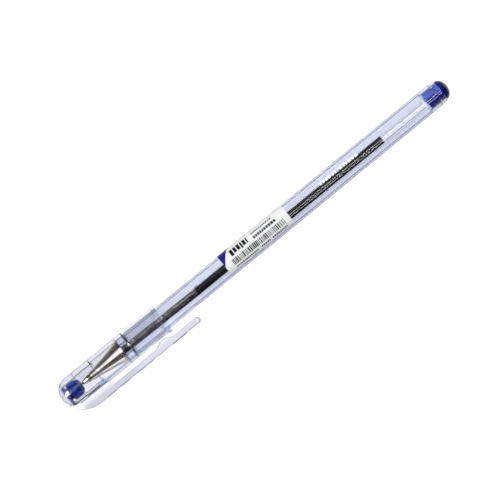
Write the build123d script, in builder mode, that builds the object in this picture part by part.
"""A capped ballpoint pen, in millimetres.

+X runs along the pen from the writing point to the tail, +Z is up and the pocket clip points
along -Y.  The origin is the centre of the writing ball.  A station is a distance along X.
"""

import os
from math import cos, radians, sin

from build123d import *

os.makedirs("parts", exist_ok=True)

# ---------------------------------------------------------------- driving dimensions
BALL_RADIUS = 0.35
BALL_CLEARANCE = 0.02

TIP_LIP = -0.16  # station of the lip crimped over the ball
TIP_LIP_RADIUS = 0.42
TIP_CONE_END = 1.9
TIP_RADIUS = 1.15
TIP_STEP = 0.05
TIP_SHANK_RADIUS = 0.82
TIP_SHANK_END = 12.0
TIP_CHANNEL_RADIUS = 0.15
TIP_WELL_RADIUS = 0.55
TIP_WELL_START = 2.6

TUBE_START = 8.5
TUBE_END = 132.0
TUBE_RADIUS = 1.5
TUBE_BORE = 0.8
INK_END = 115.75
REFILL_BOW = ((45.0, -0.42), (100.0, -0.36), (TUBE_END, -0.25))  # station, sideways sag

CONE_FRONT = 3.4
CONE_LIP_RADIUS = 1.45
CONE_LIP_END = 5.5
CONE_LIP_END_RADIUS = 1.65
CONE_END = 14.8
CONE_END_RADIUS = 3.42
CONE_TIP_BORE = 1.2
CONE_SHOULDER = 8.45
CONE_TUBE_BORE = 1.75
CONE_CAVITY_START = 9.6
CONE_WALL = 0.35
CONE_MOUTH_FILLET = 0.12
FLANGE_RADIUS = 3.5

NOSE_FRONT = 9.8  # the barrel's nose, pressed into the cone
NOSE_BORE = 1.75
NOSE_BORE_END = 17.9
NOSE_BORE_FLARE = 0.6
BARREL_FRONT = 15.7
BARREL_SHOULDER = 18.1
BARREL_TAIL = 136.5
BARREL_END = 138.4
BARREL_RADIUS = 3.86
SPIGOT_RADIUS = 3.7
TAIL_RADIUS = 3.7
BARREL_BORE = 3.19
PLUG_BORE = 2.72
PLUG_BORE_START = 132.5
EDGE_CHAMFER = 0.1

RIB_START = 18.7
RIB_END = 43.9
RIB_PITCH = 0.55
RIB_DEPTH = 0.05
RIB_GAP = 0.4  # width of the hollow between two ribs
VENT_STATION = 44.6
VENT_RADIUS = 0.5
VENT_ANGLE = 3.5  # degrees from +Z towards +Y

PLUG_FLANGE_RADIUS = 3.4
PLUG_FLANGE_END = 138.6
PLUG_DOME_RADIUS = 3.25
PLUG_END = 141.0
PLUG_CROWN_RADIUS = 0.2  # flat of the dome
PLUG_STEM_RADIUS = 2.7
PLUG_STEM_START = 133.1
PLUG_STEM_TAPER = (0.3, 0.15)  # length and depth of the stem's lead-in
PLUG_SEAT_GAP = 0.02
PLUG_NECK = (136.45, 137.1)
PLUG_NECK_RADIUS = 2.55
PLUG_CUP_RADIUS = 1.7
PLUG_CUP_END = 138.2

CAP_END = -8.05
CAP_RADIUS = 4.79
CAP_DOME_LENGTH = 4.3
CAP_END_FLAT = 0.3  # radius of the small flat at the middle of the dome
CAP_MOUTH = 30.9
CAP_BEAD_RADIUS = 5.1
CAP_BEAD_LENGTH = 1.3
CAP_BEAD_LEAD = 0.3
CAP_BEAD_CHAMFER = 0.25
# Bore of the cap, from the mouth inwards: (station where the step starts, bore radius)
CAP_BORES = ((CAP_MOUTH, 3.98), (18.05, 3.76), (15.4, 3.6), (5.35, 3.1), (-1.1, 2.85))
CAP_FLOOR = -5.9

CLIP_INNER = 6.3  # distance of the clip's inner face from the pen's axis
CLIP_OUTER = 8.1
CLIP_END = 39.65
CLIP_WIDTH = 4.0
CLIP_TIP_WIDTH = 3.4
CLIP_ROOT_WIDTH = 1.6  # at the dome's end, widening to the full width at the root's end
CLIP_ROOT_END = -4.0
CLIP_SHOULDER = (  # outline of the root's back, from inside the dome to the clip's outer face
    (-7.85, 1.2),
    (-7.5, 2.8),
    (-7.0, 3.9),
    (-6.1, 5.3),
    (-4.6, 6.6),
    (-2.5, 7.6),
    (0.0, CLIP_OUTER),
)
CLIP_ROOT_DEPTH = 1.0  # the root runs this near the axis, inside the cap's thick end
CLIP_ROOT_BACK = -4.65
CLIP_WEB_FOOT = 6.5
CLIP_WEB_END = 7.7
CLIP_WEB_REACH = 4.5  # distance from the axis where the web meets the cap
CLIP_BUMP = (23.2, 25.4, 27.3, 30.4)  # stations of the bump's foot, crown and foot
CLIP_BUMP_REACH = 5.1
CLIP_CORNER = 1.0  # chamfer of the tip, seen from above

SEAL_FLANGE = (-5.8, -4.75)
SEAL_FLANGE_RADIUS = 2.8
SEAL_NECK_RADIUS = 2.0
SEAL_BODY = (-4.4, -1.9)
SEAL_FRONT = -0.5
SEAL_FRONT_RADIUS = 1.7
SEAL_CORE_RADIUS = 2.05
SEAL_LOBE_RADIUS = 0.62
SEAL_LOBES = 6
SEAL_RADIUS = 2.8
SEAL_LOBE_ANGLE = 13  # degrees from +Z towards the clip
SEAL_SOCKET_RADIUS = 0.9
SEAL_SOCKET_DEPTH = 1.0

LABEL_START = 55.15
LABEL_END = 79.6
LABEL_THICKNESS = 0.08
LABEL_LOWER_EDGE = 51.5  # degrees from +Z towards the clip
LABEL_UPPER_EDGE = -105.0


def lathe(points):
    """Revolve a closed outline of (station, radius) points about the pen's axis."""
    with BuildPart() as turned:
        with BuildSketch(Plane.XY):
            with BuildLine():
                Polyline(*points, close=True)
            make_face()
        revolve(axis=Axis.X)
    return turned.part


def finish(piece, label):
    """Name a finished piece and write it."""
    piece.part.label = label
    export_step(piece.part, f"parts/{label}.step")


# ---------------------------------------------------------------- refill
with BuildPart() as writing_ball:
    Sphere(BALL_RADIUS)
finish(writing_ball, "writing_ball")

with BuildPart() as tip_socket:
    with BuildSketch(Plane.XY):
        with BuildLine():
            Polyline(
                (TIP_LIP, 0),
                (TIP_LIP, TIP_LIP_RADIUS),
                (TIP_CONE_END, TIP_RADIUS - TIP_STEP),
                (TIP_CONE_END, TIP_RADIUS),
                (TUBE_START, TIP_RADIUS),
                (TUBE_START, TIP_SHANK_RADIUS),
                (TIP_SHANK_END, TIP_SHANK_RADIUS),
                (TIP_SHANK_END, TIP_WELL_RADIUS),
                (TIP_WELL_START, TIP_WELL_RADIUS),
                (TIP_WELL_START - TIP_WELL_RADIUS, TIP_CHANNEL_RADIUS),
                (0, TIP_CHANNEL_RADIUS),
                (0, 0),
                close=True,
            )
        make_face()
    revolve(axis=Axis.X)
    Sphere(BALL_RADIUS + BALL_CLEARANCE, mode=Mode.SUBTRACT)
finish(tip_socket, "tip_socket")

with BuildLine() as refill_axis:
    Spline(
        (TUBE_START, 0, 0),
        *[(station, sag, 0) for station, sag in REFILL_BOW],
        tangents=((1, 0, 0), (1, 0, 0)),
    )

with BuildPart() as refill_tube:
    with BuildSketch(Plane.YZ.offset(TUBE_START)):
        Circle(TUBE_RADIUS)
        Circle(TUBE_BORE, mode=Mode.SUBTRACT)
    sweep(path=refill_axis.wires()[0])
finish(refill_tube, "refill_tube")

with BuildPart() as ink_column:
    with BuildSketch(Plane.YZ.offset(TUBE_START)):
        Circle(TUBE_BORE)
    sweep(path=refill_axis.wires()[0])
    split(bisect_by=Plane.YZ.offset(TIP_SHANK_END), keep=Keep.TOP)
    split(bisect_by=Plane.YZ.offset(INK_END), keep=Keep.BOTTOM)
finish(ink_column, "ink_column")

# ---------------------------------------------------------------- nose cone
def cavity_radius(station):
    """Inside radius of the nose cone, which the barrel's nose is pressed into."""
    slope = (CONE_END_RADIUS - CONE_LIP_END_RADIUS) / (CONE_END - CONE_LIP_END)
    return CONE_LIP_END_RADIUS + slope * (station - CONE_LIP_END) - CONE_WALL


with BuildPart() as nose_cone:
    with BuildSketch(Plane.XY):
        with BuildLine():
            Polyline(
                (CONE_FRONT, CONE_TIP_BORE),
                (CONE_FRONT, CONE_LIP_RADIUS),
                (CONE_LIP_END, CONE_LIP_END_RADIUS),
                (CONE_END, CONE_END_RADIUS),
                (CONE_END, FLANGE_RADIUS),
                (BARREL_FRONT, FLANGE_RADIUS),
                (BARREL_FRONT, cavity_radius(BARREL_FRONT)),
                (CONE_CAVITY_START, cavity_radius(CONE_CAVITY_START)),
                (CONE_CAVITY_START, CONE_TUBE_BORE),
                (CONE_SHOULDER, CONE_TUBE_BORE),
                (CONE_SHOULDER, CONE_TIP_BORE),
                close=True,
            )
        make_face()
    revolve(axis=Axis.X)
    front_edges = nose_cone.edges().filter_by(GeomType.CIRCLE).group_by(Axis.X)[0]
    fillet(front_edges.sort_by(SortBy.RADIUS)[-1], CONE_MOUTH_FILLET)
finish(nose_cone, "nose_cone")

# ---------------------------------------------------------------- barrel
with BuildPart() as barrel:
    with BuildSketch(Plane.XY):
        with BuildLine():
            Polyline(
                (NOSE_FRONT, NOSE_BORE),
                (NOSE_FRONT, cavity_radius(NOSE_FRONT)),
                (BARREL_FRONT, cavity_radius(BARREL_FRONT)),
                (BARREL_FRONT, SPIGOT_RADIUS - EDGE_CHAMFER),
                (BARREL_FRONT + EDGE_CHAMFER, SPIGOT_RADIUS),
                (BARREL_SHOULDER, SPIGOT_RADIUS),
                (BARREL_SHOULDER, BARREL_RADIUS - EDGE_CHAMFER),
                (BARREL_SHOULDER + EDGE_CHAMFER, BARREL_RADIUS),
                (BARREL_TAIL, BARREL_RADIUS),
                (BARREL_TAIL + EDGE_CHAMFER, TAIL_RADIUS),
                (BARREL_END - EDGE_CHAMFER, TAIL_RADIUS),
                (BARREL_END, TAIL_RADIUS - EDGE_CHAMFER),
                (BARREL_END, PLUG_BORE),
                (PLUG_BORE_START, PLUG_BORE),
                (PLUG_BORE_START, BARREL_BORE),
                (NOSE_BORE_END + NOSE_BORE_FLARE, BARREL_BORE),
                (NOSE_BORE_END, NOSE_BORE),
                close=True,
            )
        make_face()
        # Hollows between the grip ribs: shallow arcs cut by circles that dip into the wall
        hollow_radius = ((RIB_GAP / 2) ** 2 + RIB_DEPTH**2) / (2 * RIB_DEPTH)
        hollow_count = int((RIB_END - RIB_START) / RIB_PITCH) + 1
        with Locations((RIB_START, BARREL_RADIUS - RIB_DEPTH + hollow_radius)):
            with GridLocations(RIB_PITCH, 1, hollow_count, 1, align=(Align.MIN, Align.CENTER)):
                Circle(hollow_radius, mode=Mode.SUBTRACT)
    revolve(axis=Axis.X)
    vent_direction = (0, sin(radians(VENT_ANGLE)), cos(radians(VENT_ANGLE)))
    with BuildSketch(Plane(origin=(VENT_STATION, 0, 0), z_dir=vent_direction)):
        Circle(VENT_RADIUS)
    extrude(amount=BARREL_RADIUS + 1, mode=Mode.SUBTRACT)
finish(barrel, "barrel")

# ---------------------------------------------------------------- end plug
with BuildPart() as end_plug:
    with BuildSketch(Plane.XY):
        with BuildLine():
            Polyline(
                (PLUG_END, PLUG_CROWN_RADIUS),
                (PLUG_END, 0),
                (PLUG_CUP_END, 0),
                (PLUG_CUP_END, PLUG_CUP_RADIUS),
                (PLUG_STEM_START, PLUG_CUP_RADIUS),
                (PLUG_STEM_START, PLUG_STEM_RADIUS - PLUG_STEM_TAPER[1]),
                (PLUG_STEM_START + PLUG_STEM_TAPER[0], PLUG_STEM_RADIUS),
                (PLUG_NECK[0], PLUG_STEM_RADIUS),
                (PLUG_NECK[0] + EDGE_CHAMFER, PLUG_NECK_RADIUS),
                (PLUG_NECK[1] - EDGE_CHAMFER, PLUG_NECK_RADIUS),
                (PLUG_NECK[1], PLUG_STEM_RADIUS),
                (BARREL_END + PLUG_SEAT_GAP, PLUG_STEM_RADIUS),
                (BARREL_END + PLUG_SEAT_GAP, PLUG_FLANGE_RADIUS),
                (PLUG_FLANGE_END, PLUG_FLANGE_RADIUS),
                (PLUG_FLANGE_END, PLUG_DOME_RADIUS),
            )
            EllipticalCenterArc(
                (PLUG_FLANGE_END, PLUG_CROWN_RADIUS),
                PLUG_END - PLUG_FLANGE_END,
                PLUG_DOME_RADIUS - PLUG_CROWN_RADIUS,
                start_angle=0,
                arc_size=90,
            )
        make_face()
    revolve(axis=Axis.X)
finish(end_plug, "end_plug")

# ---------------------------------------------------------------- label
with BuildPart() as label:
    with BuildSketch(Plane.YZ.offset(LABEL_START)):
        with BuildLine():
            sweep_angle = LABEL_LOWER_EDGE - LABEL_UPPER_EDGE
            outer = CenterArc(
                (0, 0), BARREL_RADIUS + LABEL_THICKNESS, 90 + LABEL_UPPER_EDGE, sweep_angle
            )
            inner = CenterArc((0, 0), BARREL_RADIUS, 90 + LABEL_UPPER_EDGE, sweep_angle)
            Line(outer @ 0, inner @ 0)
            Line(outer @ 1, inner @ 1)
        make_face()
    extrude(amount=LABEL_END - LABEL_START)
finish(label, "label")

# ---------------------------------------------------------------- cap and clip
with BuildPart() as clip:
    with BuildSketch(Plane.XY):
        with BuildLine():
            shoulder = Spline(
                *[(station, -reach) for station, reach in CLIP_SHOULDER],
                tangents=((0.2, -1), (1, 0)),
            )
            tip_radius = (CLIP_OUTER - CLIP_INNER) / 2
            outer_face = Line(shoulder @ 1, (CLIP_END - tip_radius, -CLIP_OUTER))
            tip_round = ThreePointArc(
                outer_face @ 1,
                (CLIP_END, -CLIP_OUTER + tip_radius),
                (CLIP_END - tip_radius, -CLIP_INNER),
            )
            inner_face = Line(tip_round @ 1, (CLIP_BUMP[3], -CLIP_INNER))
            bump = Spline(
                inner_face @ 1,
                (CLIP_BUMP[2], -CLIP_BUMP_REACH),
                (CLIP_BUMP[1], -CLIP_BUMP_REACH),
                (CLIP_BUMP[0], -CLIP_INNER),
                tangents=((-1, 0), (-1, 0)),
            )
            Polyline(
                bump @ 1,
                (CLIP_WEB_END, -CLIP_INNER),
                (CLIP_WEB_FOOT, -CLIP_WEB_REACH),
                (CLIP_WEB_FOOT, -CLIP_ROOT_DEPTH),
                (CLIP_ROOT_BACK, -CLIP_ROOT_DEPTH),
                shoulder @ 0,
            )
        make_face()
    extrude(amount=CLIP_WIDTH / 2, both=True)
    # The clip narrows towards its rounded tip
    with BuildSketch(Plane.XZ):
        with BuildLine():
            Polyline(
                (CAP_END, CLIP_ROOT_WIDTH / 2),
                (CLIP_ROOT_END, CLIP_WIDTH / 2),
                (CLIP_END - CLIP_CORNER, CLIP_TIP_WIDTH / 2),
                (CLIP_END, CLIP_TIP_WIDTH / 2 - CLIP_CORNER),
                (CLIP_END, -CLIP_TIP_WIDTH / 2 + CLIP_CORNER),
                (CLIP_END - CLIP_CORNER, -CLIP_TIP_WIDTH / 2),
                (CLIP_ROOT_END, -CLIP_WIDTH / 2),
                (CAP_END, -CLIP_ROOT_WIDTH / 2),
                close=True,
            )
        make_face()
    extrude(amount=CLIP_OUTER + 1, mode=Mode.INTERSECT)

with BuildPart() as cap_shell:
    dome_centre = CAP_END + CAP_DOME_LENGTH
    with BuildSketch(Plane.XY):
        with BuildLine():
            Polyline(
                (dome_centre, CAP_RADIUS),
                (CAP_MOUTH - CAP_BEAD_LENGTH - CAP_BEAD_LEAD, CAP_RADIUS),
                (CAP_MOUTH - CAP_BEAD_LENGTH, CAP_BEAD_RADIUS),
                (CAP_MOUTH - CAP_BEAD_CHAMFER, CAP_BEAD_RADIUS),
                (CAP_MOUTH, CAP_BEAD_RADIUS - CAP_BEAD_CHAMFER),
                (CAP_MOUTH, 0),
                (CAP_END, 0),
                (CAP_END, CAP_END_FLAT),
            )
            EllipticalCenterArc(
                (dome_centre, CAP_END_FLAT),
                CAP_DOME_LENGTH,
                CAP_RADIUS - CAP_END_FLAT,
                start_angle=90,
                arc_size=90,
            )
        make_face()
    revolve(axis=Axis.X)
    add(clip.part)
    # Stepped bore, open at the mouth
    bore_ends = [station for station, _ in CAP_BORES[1:]] + [CAP_FLOOR]
    for (bore_start, bore_radius), bore_end in zip(CAP_BORES, bore_ends):
        with BuildSketch(Plane.YZ.offset(bore_end)):
            Circle(bore_radius)
        extrude(amount=bore_start - bore_end, mode=Mode.SUBTRACT)
finish(cap_shell, "cap_shell")

# ---------------------------------------------------------------- cap seal
with BuildPart() as cap_seal:
    with BuildSketch(Plane.YZ.offset(SEAL_FLANGE[0])):
        Circle(SEAL_FLANGE_RADIUS)
    extrude(amount=SEAL_FLANGE[1] - SEAL_FLANGE[0])
    with BuildSketch(Plane.YZ.offset(SEAL_FLANGE[1])):
        Circle(SEAL_NECK_RADIUS)
    extrude(amount=SEAL_BODY[0] - SEAL_FLANGE[1])
    with BuildSketch(Plane.YZ.offset(SEAL_BODY[0])):
        Circle(SEAL_CORE_RADIUS)
        first_lobe = 90 + SEAL_LOBE_ANGLE
        with PolarLocations(SEAL_RADIUS - SEAL_LOBE_RADIUS, SEAL_LOBES, start_angle=first_lobe):
            Circle(SEAL_LOBE_RADIUS)
    extrude(amount=SEAL_FRONT - SEAL_BODY[0])
    # The lobes run out in a round nose
    nose = [
        (SEAL_FLANGE[0], 0),
        (SEAL_FLANGE[0], SEAL_FLANGE_RADIUS),
        (SEAL_BODY[1], SEAL_RADIUS),
        (SEAL_FRONT, SEAL_FRONT_RADIUS),
        (SEAL_FRONT, 0),
    ]
    add(lathe(nose), mode=Mode.INTERSECT)
    with BuildSketch(Plane.YZ.offset(SEAL_FRONT - SEAL_SOCKET_DEPTH)):
        Circle(SEAL_SOCKET_RADIUS)
    extrude(amount=SEAL_SOCKET_DEPTH, mode=Mode.SUBTRACT)
finish(cap_seal, "cap_seal")
